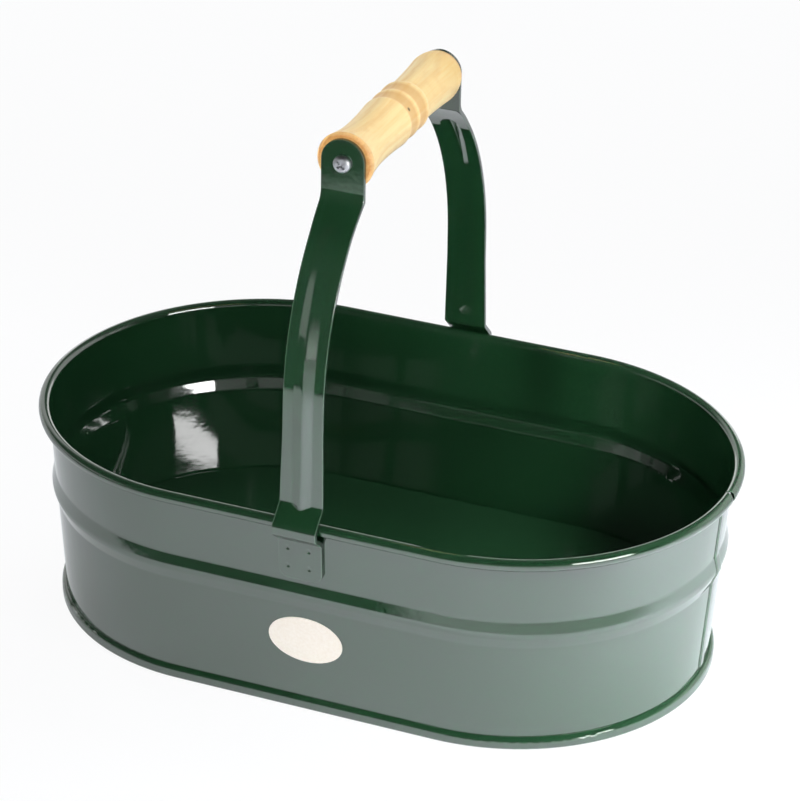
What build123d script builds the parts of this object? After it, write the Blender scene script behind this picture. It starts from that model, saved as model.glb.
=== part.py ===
"""Oval harvest basket: a sheet steel tub with a strap handle and a turned wooden grip.

Frame: X runs along the basket, Y across it, Z up. The origin is the middle of the base,
on the surface that the basket stands on. All sizes are in millimetres.
"""

import os
from math import asin, atan2, cos, degrees, hypot, radians, sin

from build123d import *

# Tub: overall sizes
rim_length = 380.0
rim_width = 237.0
body_height = 114.6
base_width = 218.0

# Tub: sheet, rolled rim and swaged bead
wall_sheet = 0.8
curl_diameter = 6.2
curl_turn = 300.0
bead_centre_height = 68.6
bead_height = 15.6
bead_depth = 2.4
bead_bend_radius = 5.0

# Side seam of the wall band, at the +X end
side_seam_width = 5.0
side_seam_proud = 0.7
side_seam_foot = 1.0
rim_slit = 0.9
rim_slit_mouth = 4.0

# Base panel and the folded channel that holds the wall's lower edge
base_sheet = 0.8
floor_height = 13.0
floor_edge_radius = 1.6
channel_height = 6.3
channel_lip = 2.4
channel_edge_radius = 1.2
skirt_height = 8.2
fold_clearance = 0.05

# Handle straps
strap_thickness = 2.0
strap_foot_width = 23.5
strap_ribbed_width = 21.7
strap_tab_width = 22.8
leg_taper_length = 40.0
tab_taper_length = 14.0
foot_bead_gap = 2.7
foot_corner_radius = 5.0
foot_top_drop = 13.0
neck_gap = 2.0
neck_top_drop = 1.8
neck_length = 5.2
leg_inset = 5.6
leg_foot_rise = 7.2
leg_lean = 1.9
leg_straight_length = 55.0
tab_crease_drop = 18.8
tab_top_margin = 12.4
bend_radius = 1.2
crease_bend_radius = 8.0

# Spot weld marks, in each strap's foot and opposite on the inside of the wall
weld_mark_radius = 5.0
weld_mark_depth = 0.3
weld_middle_offset = -1.0
weld_middle_rise = 13.0
weld_pitch_across = 11.5
weld_pitch_up = 10.5

# Rib pressed along each strap
rib_width = 12.0
rib_height = 2.0
rib_bend_radius = 3.0
rib_sink = 0.08
rib_top_gap = 20.5
groove_foot_gap = 10.0

# Grip
grip_axis_height = 287.0
grip_length = 125.0
grip_near_end_radius = 15.0
grip_far_end_radius = 13.8
grip_end_chamfer = 1.5
grip_far_round_length = 9.0
grip_near_waist_radius = 12.6
grip_far_waist_radius = 12.3
grip_ridge_radius = 13.7
grip_ridge_width = 1.2
grip_cove_depth = 0.6
grip_cove_length = 10.5
grip_ring_offset = 1.0
grip_step_length = 3.5
grip_end_play = 0.3

# Grip screws
screw_shank_diameter = 4.0
screw_length = 28.0
screw_point_length = 5.0
screw_head_diameter = 9.2
screw_head_height = 2.6
screw_head_rim = 0.7
screw_recess_width = 1.3
screw_recess_span = 5.0
screw_recess_depth = 1.5
screw_head_play = 0.3
screw_running_clearance = 0.06
pilot_clearance = 0.05
pilot_end_room = 1.0

# Label
label_length = 40.6
label_height = 26.6
label_thickness = 0.25
label_bead_gap = 5.9
label_offset = 1.0

# Tub places worked out from the sizes above
end_centre = (rim_length - rim_width) / 2
straight_length = 2 * end_centre
curl_radius = curl_diameter / 2
curl_offset = rim_width / 2 - curl_radius
curl_centre_height = body_height - curl_radius
skirt_outer = base_width / 2 - channel_lip - fold_clearance
skirt_inner = skirt_outer - wall_sheet
rim_inner = rim_width / 2 - curl_diameter
taper = atan2(rim_inner - skirt_inner, curl_centre_height - skirt_height)
up_wall = (sin(taper), cos(taper))
off_wall = (cos(taper), -sin(taper))
foot_height = bead_centre_height + bead_height / 2 + foot_bead_gap
weld_places = [
    (
        weld_middle_offset + column * weld_pitch_across / 2,
        foot_height + weld_middle_rise + row * weld_pitch_up / 2,
    )
    for column in (-1, 1)
    for row in (-1, 1)
]


def wall_point(height, out=0.0):
    """Point of the wall's inside face at a height, moved out along the face's normal."""
    share = (height - skirt_height) / (curl_centre_height - skirt_height)
    inner = skirt_inner + share * (rim_inner - skirt_inner)
    return (inner + out * off_wall[0], height + out * off_wall[1])


def bead_point(along, out):
    """Point set off from the bead's middle, along the wall's slope and out along its normal."""
    middle = wall_point(bead_centre_height, out)
    return (middle[0] + along * up_wall[0], middle[1] + along * up_wall[1])


def sloping_wall_line(start, end):
    """Inside face of the sloping wall from one point to another, over the swaged bead."""
    bead_low = bead_point(-bead_height / 2, 0)
    bead_crest = bead_point(0, bead_depth)
    bead_high = bead_point(bead_height / 2, 0)
    FilletPolyline(start, bead_low, bead_crest, bead_high, end, radius=bead_bend_radius)


def turn_round_end(section, start_angle, end_angle):
    """Turn a section drawn on the +Y side round the +X end, between two angles from +X."""
    end_axis = Axis((end_centre, 0, 0), (0, 0, 1))
    turned = section.rotate(end_axis, start_angle - 90)
    revolve(turned, axis=end_axis, revolution_arc=end_angle - start_angle)


# Wall: one band with a rolled rim, a swaged bead and a lapped side seam
with BuildSketch(Plane.YZ.offset(end_centre)) as wall_section:
    with BuildLine():
        Line((skirt_inner, base_sheet), (skirt_inner, skirt_height))
        sloping_wall_line((skirt_inner, skirt_height), (rim_inner, curl_centre_height))
        CenterArc((curl_offset, curl_centre_height), curl_radius, 180, -curl_turn)
        offset(amount=wall_sheet, side=Side.RIGHT, kind=Kind.INTERSECTION)
    make_face()

with BuildSketch(Plane.YZ.offset(end_centre)) as seamed_section:
    add(wall_section.sketch_local)
    with BuildLine():
        seam_low = wall_point(skirt_height + side_seam_foot)
        seam_high = wall_point(curl_centre_height - curl_diameter)
        sloping_wall_line(seam_low, seam_high)
        offset(amount=wall_sheet + side_seam_proud, side=Side.RIGHT, kind=Kind.INTERSECTION)
    make_face()

seam_angle = degrees(side_seam_width / rim_width)
slit_start = end_centre + curl_offset - curl_radius / 2
with BuildPart() as plain_half:
    extrude(wall_section.sketch, amount=-straight_length)
    turn_round_end(wall_section.sketch, -90, 90)

with BuildPart() as wall:
    extrude(wall_section.sketch, amount=-straight_length)
    turn_round_end(wall_section.sketch, -90, -seam_angle)
    turn_round_end(seamed_section.sketch, -seam_angle, seam_angle)
    turn_round_end(wall_section.sketch, seam_angle, 90)
    add(plain_half.part, rotation=(0, 0, 180))
    with BuildSketch(Plane.XY.offset(curl_centre_height)):
        Polygon(
            (slit_start, rim_slit / 2),
            (slit_start, -rim_slit / 2),
            (slit_start + curl_diameter, -rim_slit_mouth),
            (slit_start + curl_diameter, rim_slit / 2),
            align=None,
        )
    extrude(amount=curl_diameter, both=True, mode=Mode.SUBTRACT)
    for weld_offset, weld_height in weld_places:
        mark = wall_point(weld_height, weld_mark_depth - weld_mark_radius)
        with Locations((weld_offset, mark[0], mark[1]), (weld_offset, -mark[0], mark[1])):
            Sphere(weld_mark_radius, mode=Mode.SUBTRACT)
wall.part.label = "wall"

# Base panel: a raised floor whose edge folds down, under and up round the wall's lower edge
leg_outer = skirt_inner - fold_clearance
leg_inner = leg_outer - base_sheet
lip_inner = skirt_outer + fold_clearance
lip_outer = base_width / 2
floor_underside = floor_height - base_sheet
inner_edge_radius = floor_edge_radius - base_sheet
with BuildSketch(Plane.YZ.offset(end_centre)) as base_section:
    with BuildLine():
        Line((0, floor_underside), (0, floor_height))
        Line((0, floor_height), (leg_outer - floor_edge_radius, floor_height))
        RadiusArc(
            (leg_outer - floor_edge_radius, floor_height),
            (leg_outer, floor_height - floor_edge_radius),
            floor_edge_radius,
        )
        Line((leg_outer, floor_height - floor_edge_radius), (leg_outer, base_sheet))
        Line((leg_outer, base_sheet), (lip_inner, base_sheet))
        Line((lip_inner, base_sheet), (lip_inner, channel_height))
        RadiusArc((lip_inner, channel_height), (lip_outer, channel_height - channel_lip), channel_lip)
        Line((lip_outer, channel_height - channel_lip), (lip_outer, channel_edge_radius))
        RadiusArc((lip_outer, channel_edge_radius), (lip_outer - channel_edge_radius, 0), channel_edge_radius)
        Line((lip_outer - channel_edge_radius, 0), (leg_inner + inner_edge_radius, 0))
        RadiusArc((leg_inner + inner_edge_radius, 0), (leg_inner, inner_edge_radius), inner_edge_radius)
        Line((leg_inner, inner_edge_radius), (leg_inner, floor_underside - inner_edge_radius))
        RadiusArc(
            (leg_inner, floor_underside - inner_edge_radius),
            (leg_inner - inner_edge_radius, floor_underside),
            -inner_edge_radius,
        )
        Line((leg_inner - inner_edge_radius, floor_underside), (0, floor_underside))
    make_face()

with BuildPart() as base_panel:
    extrude(base_section.sketch, amount=-straight_length)
    turn_round_end(base_section.sketch, -90, 90)
    add(base_panel.part, rotation=(0, 0, 180))
base_panel.part.label = "base_panel"

# Places along the far strap's outer face, from the welded foot up to the grip
tab_inner = grip_length / 2 + grip_end_play
tab_outer = tab_inner + strap_thickness
tab_top_height = grip_axis_height + tab_top_margin
strap_off_wall = wall_sheet + fold_clearance + strap_thickness
foot_low = wall_point(foot_height - foot_bead_gap, strap_off_wall)
foot_high = wall_point(body_height - foot_top_drop, strap_off_wall)
neck_offset = rim_width / 2 + neck_gap + strap_thickness
neck_high = (neck_offset, body_height - neck_top_drop)
neck_low = (neck_offset, body_height - neck_top_drop - neck_length)
lean = radians(leg_lean)
up_leg = (-sin(lean), cos(lean))
off_leg = (cos(lean), sin(lean))
leg_low = (rim_width / 2 - leg_inset, body_height + leg_foot_rise)
leg_high = (
    leg_low[0] + leg_straight_length * up_leg[0],
    leg_low[1] + leg_straight_length * up_leg[1],
)
crease = (tab_outer, grip_axis_height - tab_crease_drop)

# Bow of the strap: the arc that leaves the leg along its lean and ends at the crease
bow_chord = (crease[0] - leg_high[0], crease[1] - leg_high[1])
bow_inward = -bow_chord[0] * off_leg[0] - bow_chord[1] * off_leg[1]
bow_radius = (bow_chord[0] ** 2 + bow_chord[1] ** 2) / (2 * bow_inward)
bow_centre = (leg_high[0] - bow_radius * off_leg[0], leg_high[1] - bow_radius * off_leg[1])
bow_end_angle = atan2(crease[1] - bow_centre[1], crease[0] - bow_centre[0])
bow_axis = Axis((0, bow_centre[0], bow_centre[1]), (1, 0, 0))

# Rib: a ridge with straight sides that meet the strip and each other in bends of one radius
half_rib = rib_width / 2
rib_bend_rise = 2 * rib_bend_radius - rib_height
rib_slope = asin(2 * rib_bend_radius / hypot(half_rib, rib_bend_rise)) - atan2(rib_bend_rise, half_rib)
rib_end_angle = bow_end_angle - rib_top_gap / bow_radius
rib_turn = degrees(rib_end_angle - lean)
off_rib_end = (cos(rib_end_angle), sin(rib_end_angle))
up_rib_end = (-sin(rib_end_angle), cos(rib_end_angle))
rib_end = (
    bow_centre[0] + bow_radius * off_rib_end[0],
    bow_centre[1] + bow_radius * off_rib_end[1],
)
groove_foot_run = leg_straight_length - groove_foot_gap
groove_foot = (
    leg_high[0] - groove_foot_run * up_leg[0],
    leg_high[1] - groove_foot_run * up_leg[1],
)
rib_plane = Plane(origin=(0, *leg_high), x_dir=(1, 0, 0), z_dir=(0, *up_leg))
rib_end_plane = Plane(origin=(0, *rib_end), x_dir=(1, 0, 0), z_dir=(0, *up_rib_end))
groove_foot_plane = Plane(origin=(0, *groove_foot), x_dir=(1, 0, 0), z_dir=(0, *up_leg))
rib_dome_axis = Axis((0, *rib_end), (0, -off_rib_end[0], -off_rib_end[1]))
groove_foot_axis = Axis((0, *groove_foot), (0, *off_leg))
half_foot = strap_foot_width / 2
half_ribbed = strap_ribbed_width / 2
half_tab = strap_tab_width / 2
half_widest = max(half_foot, half_ribbed, half_tab)
round_height = tab_top_height - half_tab
taper_low = leg_low[1] + leg_taper_length
taper_high = crease[1] - tab_taper_length


def half_rib_outline(depth, floor):
    """Half of the rib's outline on a face at a depth in the strip, closed down to a floor."""
    crest_radius = rib_bend_radius - depth
    foot_radius = rib_bend_radius + depth
    crest = (0, rib_height - depth)
    side_high = (crest_radius * sin(rib_slope), rib_height - rib_bend_radius + crest_radius * cos(rib_slope))
    side_low = (half_rib - foot_radius * sin(rib_slope), rib_bend_radius - foot_radius * cos(rib_slope))
    foot = (half_rib, -depth)
    TangentArc(crest, side_high, tangent=(1, 0))
    Line(side_high, side_low)
    TangentArc(foot, side_low, tangent=(-1, 0))
    Polyline(foot, (half_rib, floor), (0, floor))


# Far handle strap
with BuildPart() as far_strap:
    with BuildSketch(Plane.YZ.offset(-half_widest)) as strap_profile:
        with BuildLine():
            Polyline(foot_low, foot_high, neck_low, neck_high, leg_low, leg_high)
            TangentArc(leg_high, crease, tangent=up_leg)
            Line(crease, (tab_outer, tab_top_height))
            offset(amount=strap_thickness, side=Side.LEFT, kind=Kind.INTERSECTION)
        make_face()
        hollow_bends = ((foot_high, bend_radius), (leg_low, bend_radius), (crease, crease_bend_radius))
        for hollow_corner, hollow_radius in hollow_bends:
            corners = strap_profile.vertices().sort_by_distance(hollow_corner)
            fillet(corners[0], hollow_radius)
            fillet(corners[1], hollow_radius + strap_thickness)
        for round_corner in (neck_low, neck_high):
            corners = strap_profile.vertices().sort_by_distance(round_corner)
            fillet(corners[0], bend_radius + strap_thickness)
            fillet(corners[1], bend_radius)
    extrude(amount=2 * half_widest)
    with BuildSketch(Plane.XZ) as strap_front:
        with BuildLine():
            foot_corner = half_foot - foot_corner_radius
            Line((0, foot_height), (foot_corner, foot_height))
            RadiusArc(
                (foot_corner, foot_height),
                (half_foot, foot_height + foot_corner_radius),
                -foot_corner_radius,
            )
            Line((half_foot, foot_height + foot_corner_radius), (half_foot, leg_low[1]))
            Line((half_foot, leg_low[1]), (half_ribbed, taper_low))
            Line((half_ribbed, taper_low), (half_ribbed, taper_high))
            Line((half_ribbed, taper_high), (half_tab, crease[1]))
            Line((half_tab, crease[1]), (half_tab, round_height))
            RadiusArc((half_tab, round_height), (0, tab_top_height), -half_tab)
            mirror(about=Plane.YZ)
        make_face()
    extrude(amount=-rim_width, mode=Mode.INTERSECT)
    with BuildSketch(rib_plane) as rib_section:
        with BuildLine():
            half_rib_outline(rib_sink, -strap_thickness / 2)
            mirror(about=Plane.YZ)
        make_face()
    extrude(rib_section.sketch, amount=-leg_straight_length - rib_height)
    revolve(rib_section.sketch, axis=bow_axis, revolution_arc=rib_turn)
    with BuildSketch(rib_end_plane) as rib_dome_section:
        with BuildLine():
            half_rib_outline(rib_sink, -strap_thickness / 2)
            Line((0, -strap_thickness / 2), (0, rib_height - rib_sink))
        make_face()
    revolve(rib_dome_section.sketch, axis=rib_dome_axis, revolution_arc=180)
    groove_depth = strap_thickness + rib_sink
    with BuildSketch(rib_plane) as groove_section:
        with BuildLine():
            half_rib_outline(groove_depth, -2 * groove_depth)
            mirror(about=Plane.YZ)
        make_face()
    extrude(groove_section.sketch, amount=-groove_foot_run, mode=Mode.SUBTRACT)
    revolve(groove_section.sketch, axis=bow_axis, revolution_arc=rib_turn, mode=Mode.SUBTRACT)
    for end_plane, end_axis in ((rib_end_plane, rib_dome_axis), (groove_foot_plane, groove_foot_axis)):
        with BuildSketch(end_plane) as groove_end_section:
            with BuildLine():
                half_rib_outline(groove_depth, -2 * groove_depth)
                Line((0, -2 * groove_depth), (0, rib_height - groove_depth))
            make_face()
        revolve(groove_end_section.sketch, axis=end_axis, revolution_arc=180, mode=Mode.SUBTRACT)
    for weld_offset, weld_height in weld_places:
        mark = wall_point(weld_height, strap_off_wall + weld_mark_radius - weld_mark_depth)
        with Locations((weld_offset, *mark)):
            Sphere(weld_mark_radius, mode=Mode.SUBTRACT)
    with Locations(Location((0, tab_outer, grip_axis_height), (90, 0, 0))):
        Cylinder(
            screw_shank_diameter / 2 + screw_running_clearance,
            4 * strap_thickness,
            mode=Mode.SUBTRACT,
        )
far_strap.part.label = "far_strap"

# Near handle strap: the same strap, mirrored across the basket
with BuildPart() as near_strap:
    mirror(far_strap.part, about=Plane.XZ)
near_strap.part.label = "near_strap"

# Grip: a turned bar with a waist on each side of the two coves at its middle
grip_plane = Plane(origin=(0, 0, grip_axis_height), x_dir=(0, 1, 0), z_dir=(1, 0, 0))
grip_axis = Axis((0, 0, grip_axis_height), (0, 1, 0))
grip_end = grip_length / 2
near_shoulder = grip_end - grip_end_chamfer
far_shoulder = grip_end - grip_far_round_length
near_face_radius = grip_near_end_radius - grip_end_chamfer
far_face_radius = grip_far_end_radius - grip_end_chamfer
ring_start = grip_ring_offset - grip_cove_length - 1.5 * grip_ridge_width
ring_end = grip_ring_offset + grip_cove_length + 1.5 * grip_ridge_width
near_waist = (ring_start - near_shoulder) / 2
far_waist = ring_end + grip_step_length
cove_radius = grip_ridge_radius - grip_cove_depth
first_cove = ring_start + grip_ridge_width
second_cove = first_cove + grip_cove_length + grip_ridge_width
with BuildPart() as grip:
    with BuildSketch(grip_plane) as grip_profile:
        with BuildLine():
            Line((-grip_end, 0), (-grip_end, near_face_radius))
            Line((-grip_end, near_face_radius), (-near_shoulder, grip_near_end_radius))
            near_middle = (near_waist, grip_near_waist_radius)
            TangentArc(near_middle, (-near_shoulder, grip_near_end_radius), tangent=(-1, 0))
            TangentArc(near_middle, (ring_start, grip_ridge_radius), tangent=(1, 0))
            for cove in (first_cove, second_cove):
                Line((cove - grip_ridge_width, grip_ridge_radius), (cove, grip_ridge_radius))
                ThreePointArc(
                    (cove, grip_ridge_radius),
                    (cove + grip_cove_length / 2, cove_radius),
                    (cove + grip_cove_length, grip_ridge_radius),
                )
            Line((ring_end - grip_ridge_width, grip_ridge_radius), (ring_end, grip_ridge_radius))
            Line((ring_end, grip_ridge_radius), (far_waist, grip_far_waist_radius))
            far_crown = (far_shoulder, grip_far_end_radius)
            TangentArc((far_waist, grip_far_waist_radius), far_crown, tangent=(1, 0))
            TangentArc(far_crown, (grip_end, far_face_radius), tangent=(1, 0))
            Line((grip_end, far_face_radius), (grip_end, 0))
            Line((grip_end, 0), (-grip_end, 0))
        make_face()
    revolve(axis=grip_axis)
    pilot_depth = screw_length - screw_head_play - strap_thickness - grip_end_play + pilot_end_room
    with Locations(
        Location((0, grip_end, grip_axis_height), (90, 0, 0)),
        Location((0, -grip_end, grip_axis_height), (90, 0, 0)),
    ):
        Cylinder(screw_shank_diameter / 2 + pilot_clearance, 2 * pilot_depth, mode=Mode.SUBTRACT)
grip.part.label = "grip"

# Grip screws: two equal pan head wood screws
shank_radius = screw_shank_diameter / 2
head_radius = screw_head_diameter / 2
head_seat = tab_outer + screw_head_play
head_top = head_seat + screw_head_height
screw_tip = head_seat - screw_length
head_round = screw_head_height - screw_head_rim
with BuildPart() as grip_screws:
    with BuildSketch(grip_plane) as screw_profile:
        with BuildLine():
            Polyline(
                (head_top, 0),
                (screw_tip, 0),
                (screw_tip + screw_point_length, shank_radius),
                (head_seat, shank_radius),
                (head_seat, head_radius),
                (head_seat + screw_head_rim, head_radius),
            )
            RadiusArc(
                (head_seat + screw_head_rim, head_radius),
                (head_top, head_radius - head_round),
                head_round,
            )
            Line((head_top, head_radius - head_round), (head_top, 0))
        make_face()
    revolve(axis=grip_axis)
    with BuildSketch(Plane(origin=(0, head_top, grip_axis_height), x_dir=(1, 0, 0), z_dir=(0, 1, 0))):
        Rectangle(screw_recess_span, screw_recess_width, rotation=45)
        Rectangle(screw_recess_span, screw_recess_width, rotation=-45)
    extrude(amount=-screw_recess_depth, mode=Mode.SUBTRACT)
    mirror(grip_screws.part, about=Plane.XZ)
grip_screws.part.label = "grip_screws"

# Label: a bare oval on the near wall, below the bead
label_middle_height = bead_centre_height - bead_height / 2 - label_bead_gap - label_height / 2
label_middle = wall_point(label_middle_height, wall_sheet + fold_clearance)
label_plane = Plane(
    origin=(label_offset, -label_middle[0], label_middle[1]),
    x_dir=(1, 0, 0),
    z_dir=(0, -off_wall[0], off_wall[1]),
)
with BuildPart() as label:
    with BuildSketch(label_plane):
        Ellipse(label_length / 2, label_height / 2)
    extrude(amount=label_thickness)
label.part.label = "label"

os.makedirs("parts", exist_ok=True)
export_step(wall.part, "parts/wall.step")
export_step(base_panel.part, "parts/base_panel.step")
export_step(near_strap.part, "parts/near_strap.step")
export_step(far_strap.part, "parts/far_strap.step")
export_step(grip.part, "parts/grip.step")
export_step(grip_screws.part, "parts/grip_screws.step")
export_step(label.part, "parts/label.step")
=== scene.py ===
"""Looks, stage, light and camera for the harvest basket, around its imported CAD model."""
import math

import bpy
from mathutils import Matrix, Vector

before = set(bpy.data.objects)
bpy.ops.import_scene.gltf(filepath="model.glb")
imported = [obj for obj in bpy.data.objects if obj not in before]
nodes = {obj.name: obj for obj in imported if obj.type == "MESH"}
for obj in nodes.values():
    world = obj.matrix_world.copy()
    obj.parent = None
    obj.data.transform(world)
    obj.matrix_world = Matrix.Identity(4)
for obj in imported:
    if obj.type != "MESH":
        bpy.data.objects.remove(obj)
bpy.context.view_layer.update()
scene = bpy.context.scene


def linear(srgb):
    """One sRGB channel value of 0 to 255 as linear light."""
    c = srgb / 255.0
    return c / 12.92 if c <= 0.04045 else ((c + 0.055) / 1.055) ** 2.4


def rgb(r, g, b):
    """An sRGB colour of 0 to 255 as a linear colour with alpha."""
    return (linear(r), linear(g), linear(b), 1.0)


# Camera, worked out from the photo: angles in degrees, place in metres, focal length in pixels
IMAGE_WIDTH = 800
SENSOR_WIDTH = 36.0
CAMERA_AZIMUTH = 21.63
CAMERA_ELEVATION = 27.70
CAMERA_ROLL = 1.19
CAMERA_PLACE = Vector((0.58157, -1.44974, 0.94659))
CAMERA_FOCAL = 3381.1
CLIP_START = 0.05
CLIP_END = 50.0

# Band that most values of a noise texture lie in
NOISE_BAND = (0.3, 0.7)

# Enamel: texture scales per metre, lengths and bump heights in metres
GREEN_DEEP = rgb(22, 53, 31)
GREEN_PALE = rgb(27, 60, 37)
DUST_COLOUR = rgb(140, 150, 140)
# Paler colour of the edges: worn paint together with a painted highlight
EDGE_WEAR_AND_HIGHLIGHT_COLOUR = rgb(104, 128, 112)
ENAMEL_IOR = 2.25
ENAMEL_ROUGHNESS = (0.03, 0.07)
TONE_SCALE = 9.0
SMEAR_SCALE = 30.0
DUST_SCALE = 45.0
DUST_EDGE = (0.02, 0.035)
DUST_CHOICE = (0.8, 0.82)
DUST_SHARE = 0.5
# Rounded edges: radius, facing band and share of the paler colour, which is partly wear and partly a
# painted highlight
EDGE_RADIUS = 0.0009
EDGE_FACING = (0.82, 0.98)
EDGE_WEAR_AND_HIGHLIGHT_SHARE = (0.4, 0.9)
DENT_SCALE = 16.0
DENT_HEIGHT = 0.0005
PEEL_SCALE = 230.0
PEEL_HEIGHT = 0.000018

# Spot weld marks in metres: place along the foot, then distance from the middle plane and height
WELD_COLUMNS = (-0.00674, 0.00476)
WELD_ROWS = ((0.11328, 0.08669), (0.11395, 0.09719))
WELD_DISH = (0.0002, 0.0017)
WELD_DEPTH = 0.0003

# Grip that the wood follows, in metres along its axis from the middle, and the axis's height
GRIP_HALF = 0.0625
GRIP_AXIS_HEIGHT = 0.287
COVE_MIDDLES = (-0.00485, 0.00685)
COVE_HALF = 0.0053
COVE_CORE = 0.6 * COVE_HALF

# Wood: colours, texture scales per metre, lengths in metres and shares of the darker tones
WOOD_DEEP = rgb(250, 215, 150)
WOOD_PALE = rgb(254, 232, 176)
RING_COLOUR = rgb(222, 166, 92)
COVE_COLOUR = rgb(214, 152, 76)
YELLOW_COLOUR = rgb(238, 186, 84)
END_COLOUR = rgb(206, 136, 62)
KNOT_COLOUR = rgb(70, 52, 20)
GRAIN_SCALE = (420.0, 16.0, 420.0)
GRAIN_HEIGHT = 0.0003
GRAIN_STRENGTH = 0.25
PITH_SHIFT = (0.03, 0.0, 0.02 - GRIP_AXIS_HEIGHT)
RING_SCALE = 70.0
RING_DISTORTION = 3.0
RING_DETAIL = 2.0
RING_BAND = (0.55, 1.0)
RING_SHARE = 0.2
COVE_SHARE = 0.5
YELLOW_BAND = (0.042, GRIP_HALF)
YELLOW_SHARE = 0.5
END_UNEVENNESS = 0.004
END_BAND = (GRIP_HALF - 0.0005, GRIP_HALF + 0.0022)
END_SHARE = 0.85
KNOT_PLACE = (0.0107, -0.006, 0.2948)
KNOT_EDGE = (0.0007, 0.0013)
KNOT_SHARE = 0.8
WOOD_ROUGHNESS = (0.55, 0.45)
WOOD_SPECULAR = 0.35

# Zinc plate of the screws and paper of the label
ZINC_COLOUR = rgb(224, 226, 229)
ZINC_SCALE = 900.0
ZINC_ROUGHNESS = (0.36, 0.48)
PAPER_DEEP = rgb(247, 236, 220)
PAPER_PALE = rgb(253, 244, 231)
PAPER_SCALE = 700.0
PAPER_ROUGHNESS = 0.55

# White table, and the shares of plain white in what the camera and the reflections show of it
TABLE_REACH = 6.0
TABLE_COLOUR = (0.79, 0.83, 0.91, 1.0)
TABLE_SEEN = 0.92
TABLE_MIRRORED = 0.46

# Pool of light on the table, in metres. In reflections the table is pale round the object and dark
# beyond a round edge in front and at the left front. Right of a slanting line it stays pale
POOL_FRONT = -0.2
POOL_DEPTH = 0.43
POOL_LEFT = -0.2
POOL_WIDTH = 0.3
POOL_EDGE = (0.93, 1.08)
POOL_SHADE_START = (-0.3, -0.15)
POOL_SLANT = 0.367
POOL_SLANT_START = 0.044
POOL_SLANT_EDGE = (0.055, 0.1)

# Room in reflections: levels are shares of white, pairs are where x, y or z of the direction fades
WHITE = (1.0, 1.0, 1.0, 1.0)
ROOM_LEVEL = 0.05
CEILING_LEVEL = 0.01
CEILING_FADE_Z = (0.6, 0.8)
BEHIND_LEVEL = 1.0
BEHIND_UPPER_LEVEL = 0.1
BEHIND_FADE_Y = (0.0, 0.3)
BEHIND_FADE_Z = (0.12, 0.3)
LEFT_LEVEL = 0.55
LEFT_FADE_X = (-0.82, -0.57)
LEFT_FADE_Z = (0.25, 0.33)
RIGHT_LEVEL = 0.95
RIGHT_FADE_X = (-0.1, 0.05)
RIGHT_FADE_Y = (-0.6, -0.4)
RIGHT_FADE_Z = (0.05, 0.3)
CORNER_LEVEL = 0.9
LEFT_CORNER_FADE_X = (-0.41, -0.37)
RIGHT_CORNER_FADE_X = (-0.1, 0.1)
CORNER_FADE_Y = (0.3, 0.6)
CORNER_FADE_Z = (0.56, 0.66)

# Light of the world on plain surfaces, as a share of white
WORLD_FILL = 0.12

# Lamps: name, place, target and size in metres, power in watts, spread in degrees, and whether the
# lamp shows in reflections and lights plain surfaces
WIDE = 180.0
LAMPS = [
    ("key_softbox", (1.25, -0.62, 0.515), (0, 0, 0.02), (0.68, 0.26), 8.3, WIDE, True, False),
    ("side_fill", (1.15, -0.55, 0.95), (0, 0, 0.1), (0.7, 0.7), 4.4, WIDE, False, True),
    ("table_fill", (0.75, -0.2, 0.55), (0.35, 0.02, 0), (0.3, 0.3), 2.0, 45.0, False, True),
    ("front_table_fill", (0.1, -0.75, 0.9), (0.12, -0.38, 0), (0.3, 0.3), 1.0, 40.0, False, True),
    ("left_table_fill", (-0.75, 0.3, 0.6), (-0.3, 0.03, 0), (0.3, 0.3), 0.22, 40.0, False, True),
    ("grip_fill", (1.0, -0.35, 0.72), (0, 0, 0.287), (0.15, 0.15), 0.053, 12.0, False, True),
    ("strap_fill", (-0.25, -1.3, 0.45), (0, -0.09, 0.225), (0.2, 0.2), 0.09, 8.0, False, True),
    ("front_fill", (-0.3, -1.6, 0.3), (0, 0, 0.12), (1.2, 0.4), 4.9, WIDE, False, True),
    ("left_fill", (-1.4, 0.5, 0.17), (0, 0, 0.08), (0.9, 0.28), 6.0, WIDE, False, True),
    ("top_fill", (-0.1, 1.1, 1.5), (0, 0, 0.05), (1.2, 1.2), 16.0, WIDE, False, True),
    ("back_strip", (-0.5, 1.6, 0.33), (0, 0, 0.15), (1.6, 0.6), 3.5, WIDE, True, True),
]


def make_camera():
    """Camera at the photo's place, with its frame's axes as the rotation."""
    a = math.radians(CAMERA_AZIMUTH)
    e = math.radians(CAMERA_ELEVATION)
    roll = math.radians(CAMERA_ROLL)
    back = Vector((math.sin(a) * math.cos(e), -math.cos(a) * math.cos(e), math.sin(e)))
    level = Vector((math.cos(a), math.sin(a), 0.0))
    upward = back.cross(level)
    right = level * math.cos(roll) + upward * math.sin(roll)
    up = upward * math.cos(roll) - level * math.sin(roll)
    data = bpy.data.cameras.new("photo_camera")
    data.sensor_fit = "HORIZONTAL"
    data.sensor_width = SENSOR_WIDTH
    data.lens = CAMERA_FOCAL * SENSOR_WIDTH / IMAGE_WIDTH
    data.clip_start = CLIP_START
    data.clip_end = CLIP_END
    camera = bpy.data.objects.new("photo_camera", data)
    scene.collection.objects.link(camera)
    turn = Matrix((right, up, back)).transposed().to_4x4()
    camera.matrix_world = Matrix.Translation(CAMERA_PLACE) @ turn
    scene.camera = camera


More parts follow.
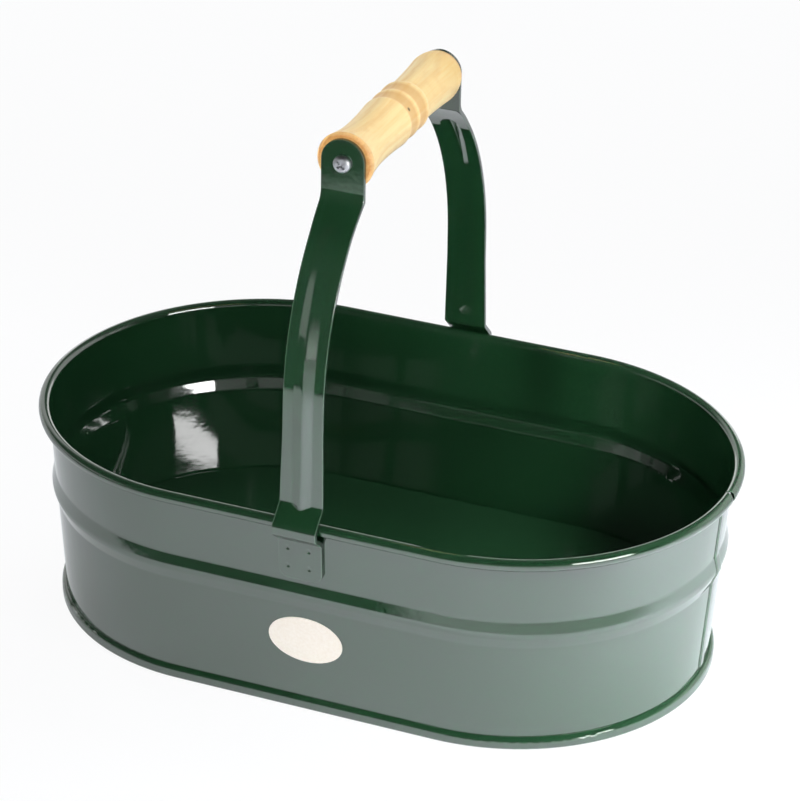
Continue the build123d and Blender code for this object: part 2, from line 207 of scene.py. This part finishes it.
class Nodes:
    """Short hand for building the node tree of a material or world."""

    def __init__(self, owner, output_kind):
        owner.use_nodes = True
        self.owner = owner
        self.tree = owner.node_tree
        self.tree.nodes.clear()
        self.output = self.add(output_kind)

    def add(self, kind, **values):
        node = self.tree.nodes.new(kind)
        for key, value in values.items():
            setattr(node, key, value)
        return node

    def link(self, source, target):
        self.tree.links.new(source, target)

    def feed(self, socket, value):
        """Link a socket to another node's output, or set it to a plain value."""
        if isinstance(value, bpy.types.NodeSocket):
            self.link(value, socket)
        else:
            socket.default_value = value

    def place(self):
        """Place on the object, in metres."""
        return self.add("ShaderNodeTexCoord").outputs["Object"]

    def split(self, vector):
        """The three parts of a vector."""
        node = self.add("ShaderNodeSeparateXYZ")
        self.link(vector, node.inputs["Vector"])
        return node.outputs["X"], node.outputs["Y"], node.outputs["Z"]

    def mapped(self, vector, **values):
        """A vector moved by Location or stretched by Scale."""
        node = self.add("ShaderNodeMapping")
        self.link(vector, node.inputs["Vector"])
        for key, value in values.items():
            node.inputs[key].default_value = value
        return node.outputs["Vector"]

    def distance(self, vector, point):
        node = self.add("ShaderNodeVectorMath", operation="DISTANCE")
        self.link(vector, node.inputs[0])
        node.inputs[1].default_value = point
        return node.outputs["Value"]

    def noise(self, vector, scale, detail=2.0, roughness=0.5):
        node = self.add("ShaderNodeTexNoise")
        self.link(vector, node.inputs["Vector"])
        node.inputs["Scale"].default_value = scale
        node.inputs["Detail"].default_value = detail
        node.inputs["Roughness"].default_value = roughness
        return node.outputs["Fac"]

    def ramp(self, noise, low_colour, high_colour):
        """A colour between two, across the band of a noise texture."""
        node = self.add("ShaderNodeValToRGB")
        self.link(noise, node.inputs["Fac"])
        stops = zip(node.color_ramp.elements, NOISE_BAND, (low_colour, high_colour))
        for element, position, colour in stops:
            element.position = position
            element.color = colour
        return node.outputs["Color"]

    def range(self, factor, limits, low, high):
        """A value that goes from low to high while the factor goes from one limit to the other."""
        node = self.add("ShaderNodeMapRange")
        self.link(factor, node.inputs["Value"])
        node.inputs["From Min"].default_value = limits[0]
        node.inputs["From Max"].default_value = limits[1]
        node.inputs["To Min"].default_value = low
        node.inputs["To Max"].default_value = high
        return node.outputs["Result"]

    def math(self, operation, first, second=0.0):
        node = self.add("ShaderNodeMath", operation=operation)
        self.feed(node.inputs[0], first)
        self.feed(node.inputs[1], second)
        return node.outputs["Value"]

    def product(self, first, *others):
        for other in others:
            first = self.math("MULTIPLY", first, other)
        return first

    def largest(self, first, *others):
        for other in others:
            first = self.math("MAXIMUM", first, other)
        return first

    def mix(self, factor, first, second):
        """A mix of two colours; the numbers are the sockets of the node's colour mode."""
        node = self.add("ShaderNodeMix", data_type="RGBA")
        self.feed(node.inputs[0], factor)
        self.feed(node.inputs[6], first)
        self.feed(node.inputs[7], second)
        return node.outputs[2]

    def bump(self, height, distance, strength=1.0, normal=None):
        node = self.add("ShaderNodeBump")
        self.link(height, node.inputs["Height"])
        node.inputs["Strength"].default_value = strength
        node.inputs["Distance"].default_value = distance
        if normal is not None:
            self.link(normal, node.inputs["Normal"])
        return node.outputs["Normal"]

    def principled(self, **values):
        node = self.add("ShaderNodeBsdfPrincipled")
        for key, value in values.items():
            self.feed(node.inputs[key.replace("_", " ")], value)
        self.link(node.outputs["BSDF"], self.output.inputs["Surface"])

    def emission(self, strength):
        node = self.add("ShaderNodeEmission")
        node.inputs["Strength"].default_value = strength
        return node.outputs["Emission"]

    def mix_shaders(self, factor, first, second):
        node = self.add("ShaderNodeMixShader")
        self.link(factor, node.inputs["Fac"])
        self.link(first, node.inputs[1])
        self.link(second, node.inputs[2])
        return node.outputs["Shader"]

    def rays(self):
        """Whether a ray comes straight or through clear pieces from the camera, or is a reflection."""
        path = self.add("ShaderNodeLightPath")
        seen = self.largest(path.outputs["Is Camera Ray"], path.outputs["Is Transmission Ray"])
        return seen, path.outputs["Is Glossy Ray"]


def material_nodes(name):
    return Nodes(bpy.data.materials.new(name), "ShaderNodeOutputMaterial")


def weld_dishes(n, place):
    """Height of the enamel that has run into the weld marks of both feet, 1 outside them."""
    x, y, z = n.split(place)
    folded = n.add("ShaderNodeCombineXYZ")
    n.link(x, folded.inputs["X"])
    n.link(n.math("ABSOLUTE", y), folded.inputs["Y"])
    n.link(z, folded.inputs["Z"])
    dishes = []
    for mark_x in WELD_COLUMNS:
        for mark_y, mark_z in WELD_ROWS:
            off = n.distance(folded.outputs["Vector"], (mark_x, mark_y, mark_z))
            dishes.append(n.range(off, WELD_DISH, 0.0, 1.0))
    return n.product(*dishes)


def paint_material():
    """Glossy dark green enamel on thin sheet: slight dents, orange peel, smears, dust, and edges paled
    partly by wear and partly by a painted highlight.
    """
    n = material_nodes("green_paint")
    place = n.place()
    tone = n.noise(place, TONE_SCALE, detail=3.0)
    green = n.ramp(tone, GREEN_DEEP, GREEN_PALE)
    cells = n.add("ShaderNodeTexVoronoi")
    n.link(place, cells.inputs["Vector"])
    cells.inputs["Scale"].default_value = DUST_SCALE
    near_middle = n.range(cells.outputs["Distance"], DUST_EDGE, 1.0, 0.0)
    choice = n.add("ShaderNodeSeparateColor")
    n.link(cells.outputs["Color"], choice.inputs["Color"])
    chosen = n.range(choice.outputs["Red"], DUST_CHOICE, 0.0, DUST_SHARE)
    dusty = n.mix(n.product(near_middle, chosen), green, DUST_COLOUR)
    rounded = n.add("ShaderNodeBevel", samples=4)
    rounded.inputs["Radius"].default_value = EDGE_RADIUS
    facing = n.add("ShaderNodeVectorMath", operation="DOT_PRODUCT")
    n.link(rounded.outputs["Normal"], facing.inputs[0])
    n.link(n.add("ShaderNodeNewGeometry").outputs["Normal"], facing.inputs[1])
    # Edges get the paler colour: partly worn paint, partly a painted highlight along the rounded edges
    at_edge = n.range(facing.outputs["Value"], EDGE_FACING, 1.0, 0.0)
    wear_and_highlight = n.range(tone, NOISE_BAND, *EDGE_WEAR_AND_HIGHLIGHT_SHARE)
    colour = n.mix(n.product(at_edge, wear_and_highlight), dusty, EDGE_WEAR_AND_HIGHLIGHT_COLOUR)
    dents = n.noise(place, DENT_SCALE, detail=1.0)
    peel = n.noise(place, PEEL_SCALE, detail=1.0)
    normal = n.bump(dents, DENT_HEIGHT, normal=rounded.outputs["Normal"])
    normal = n.bump(peel, PEEL_HEIGHT, normal=normal)
    normal = n.bump(weld_dishes(n, place), WELD_DEPTH, normal=normal)
    smear = n.noise(place, SMEAR_SCALE, detail=4.0)
    roughness = n.range(smear, NOISE_BAND, *ENAMEL_ROUGHNESS)
    n.principled(Base_Color=colour, Roughness=roughness, Normal=normal, IOR=ENAMEL_IOR)
    return n.owner


def wood_material():
    """Lacquered pale hardwood: long grain, growth rings, darker coves and ends, and a small knot."""
    n = material_nodes("grip_wood")
    place = n.place()
    along = n.split(place)[1]
    grain = n.noise(n.mapped(place, Scale=GRAIN_SCALE), 1.0, detail=5.0, roughness=0.6)
    colour = n.ramp(grain, WOOD_DEEP, WOOD_PALE)
    rings = n.add("ShaderNodeTexWave", wave_type="RINGS", rings_direction="Y")
    n.link(n.mapped(place, Location=PITH_SHIFT), rings.inputs["Vector"])
    rings.inputs["Scale"].default_value = RING_SCALE
    rings.inputs["Distortion"].default_value = RING_DISTORTION
    rings.inputs["Detail"].default_value = RING_DETAIL
    colour = n.mix(n.range(rings.outputs["Fac"], RING_BAND, 0.0, RING_SHARE), colour, RING_COLOUR)
    for cove_middle in COVE_MIDDLES:
        from_cove = n.math("ABSOLUTE", n.math("SUBTRACT", along, cove_middle))
        in_cove = n.range(from_cove, (COVE_CORE, COVE_HALF), COVE_SHARE, 0.0)
        colour = n.mix(in_cove, colour, COVE_COLOUR)
    colour = n.mix(n.range(along, YELLOW_BAND, 0.0, YELLOW_SHARE), colour, YELLOW_COLOUR)
    uneven = n.math("ADD", n.math("ABSOLUTE", along), n.product(grain, END_UNEVENNESS))
    colour = n.mix(n.range(uneven, END_BAND, 0.0, END_SHARE), colour, END_COLOUR)
    knot = n.range(n.distance(place, KNOT_PLACE), KNOT_EDGE, KNOT_SHARE, 0.0)
    colour = n.mix(knot, colour, KNOT_COLOUR)
    normal = n.bump(grain, GRAIN_HEIGHT, strength=GRAIN_STRENGTH)
    roughness = n.range(grain, NOISE_BAND, *WOOD_ROUGHNESS)
    n.principled(
        Base_Color=colour, Roughness=roughness, Normal=normal, Specular_IOR_Level=WOOD_SPECULAR
    )
    return n.owner


def zinc_material():
    """Bright zinc plate with fine uneven gloss."""
    n = material_nodes("zinc_steel")
    spots = n.noise(n.place(), ZINC_SCALE)
    roughness = n.range(spots, NOISE_BAND, *ZINC_ROUGHNESS)
    n.principled(Base_Color=ZINC_COLOUR, Metallic=1.0, Roughness=roughness)
    return n.owner


def label_material():
    """Matt cream paper with fine fibres."""
    n = material_nodes("label_cream")
    fibre = n.noise(n.place(), PAPER_SCALE, detail=3.0)
    colour = n.ramp(fibre, PAPER_DEEP, PAPER_PALE)
    n.principled(Base_Color=colour, Roughness=PAPER_ROUGHNESS)
    return n.owner


def pool_shade(n):
    """Share of darkness of the table in reflections: 0 in the pool of light, 1 beyond its front."""
    x, y, _ = n.split(n.place())
    left_of_pool = n.math("MINIMUM", n.math("SUBTRACT", x, POOL_LEFT), 0.0)
    across = n.math("DIVIDE", left_of_pool, POOL_WIDTH)
    along = n.math("DIVIDE", n.math("SUBTRACT", y, POOL_FRONT), POOL_DEPTH)
    reach_squared = n.math("ADD", n.math("POWER", across, 2.0), n.math("POWER", along, 2.0))
    beyond = n.range(n.math("SQRT", reach_squared), POOL_EDGE, 0.0, 1.0)
    in_front = n.range(y, POOL_SHADE_START, 1.0, 0.0)
    from_line = n.math("SUBTRACT", x, n.product(y, POOL_SLANT))
    right_of_line = n.math("SUBTRACT", from_line, POOL_SLANT_START)
    not_right = n.range(right_of_line, POOL_SLANT_EDGE, 1.0, 0.0)
    return n.product(beyond, n.product(in_front, not_right))


def floor_material():
    """White table that keeps the object's shadow, with the pool of light in reflections."""
    n = material_nodes("white_table")
    diffuse = n.add("ShaderNodeBsdfDiffuse")
    diffuse.inputs["Color"].default_value = TABLE_COLOUR
    seen, mirrored = n.rays()
    share = n.largest(n.product(seen, TABLE_SEEN), n.product(mirrored, TABLE_MIRRORED))
    lit = n.mix_shaders(share, diffuse.outputs["BSDF"], n.emission(1.0))
    shade = n.product(mirrored, pool_shade(n))
    n.link(n.mix_shaders(shade, lit, n.emission(ROOM_LEVEL)), n.output.inputs["Surface"])
    return n.owner


def make_stage():
    """Flat white table that the object stands on."""
    ends = ((-1, -1), (1, -1), (1, 1), (-1, 1))
    corners = [(x * TABLE_REACH, y * TABLE_REACH, 0) for x, y in ends]
    mesh = bpy.data.meshes.new("table")
    mesh.from_pydata(corners, [], [range(len(corners))])
    table = bpy.data.objects.new("table", mesh)
    scene.collection.objects.link(table)
    mesh.materials.append(floor_material())


def area_light(name, place, target, size, power, spread, mirrored, lighting):
    data = bpy.data.lights.new(name, "AREA")
    data.shape = "RECTANGLE"
    data.size = size[0]
    data.size_y = size[1]
    data.energy = power
    data.spread = math.radians(spread)
    light = bpy.data.objects.new(name, data)
    scene.collection.objects.link(light)
    light.location = place
    light.rotation_mode = "QUATERNION"
    light.rotation_quaternion = (Vector(target) - Vector(place)).to_track_quat("-Z", "Y")
    light.visible_glossy = mirrored
    light.visible_diffuse = lighting


def room_level(n):
    """Level of the room in reflections: dim, and pale behind, at the left, right and rear corners."""
    x, y, z = n.split(n.add("ShaderNodeTexCoord").outputs["Generated"])
    behind = n.product(
        n.range(z, BEHIND_FADE_Z, BEHIND_LEVEL, BEHIND_UPPER_LEVEL),
        n.range(y, BEHIND_FADE_Y, 0.0, 1.0),
    )
    left = n.product(n.range(x, LEFT_FADE_X, LEFT_LEVEL, 0.0), n.range(z, LEFT_FADE_Z, 1.0, 0.0))
    right = n.product(
        n.range(x, RIGHT_FADE_X, 0.0, RIGHT_LEVEL),
        n.range(y, RIGHT_FADE_Y, 1.0, 0.0),
        n.range(z, RIGHT_FADE_Z, 1.0, 0.0),
    )
    sides = n.largest(
        n.range(x, LEFT_CORNER_FADE_X, CORNER_LEVEL, 0.0),
        n.range(x, RIGHT_CORNER_FADE_X, 0.0, CORNER_LEVEL),
    )
    corners = n.product(
        sides, n.range(y, CORNER_FADE_Y, 0.0, 1.0), n.range(z, CORNER_FADE_Z, 1.0, 0.0)
    )
    dim = n.range(z, CEILING_FADE_Z, ROOM_LEVEL, CEILING_LEVEL)
    return n.largest(dim, corners, behind, left, right)


def make_world():
    """White to the camera, the room in reflections, and a little even light on plain surfaces."""
    world = bpy.data.worlds.new("studio")
    scene.world = world
    n = Nodes(world, "ShaderNodeOutputWorld")
    room = room_level(n)
    seen, mirrored = n.rays()
    direct = n.largest(seen, n.product(mirrored, room))
    plain = n.math("SUBTRACT", 1.0, n.largest(seen, mirrored))
    background = n.add("ShaderNodeBackground")
    background.inputs["Color"].default_value = WHITE
    n.link(n.math("ADD", direct, n.product(plain, WORLD_FILL)), background.inputs["Strength"])
    n.link(background.outputs["Background"], n.output.inputs["Surface"])


def assign(names, material):
    for name in names:
        mesh = nodes[name].data
        mesh.materials.clear()
        mesh.materials.append(material)


scene.view_settings.view_transform = "Standard"
make_camera()
make_stage()
make_world()
for lamp in LAMPS:
    area_light(*lamp)
assign(("wall", "base_panel", "near_strap", "far_strap"), paint_material())
assign(("grip",), wood_material())
assign(("grip_screws",), zinc_material())
assign(("label",), label_material())
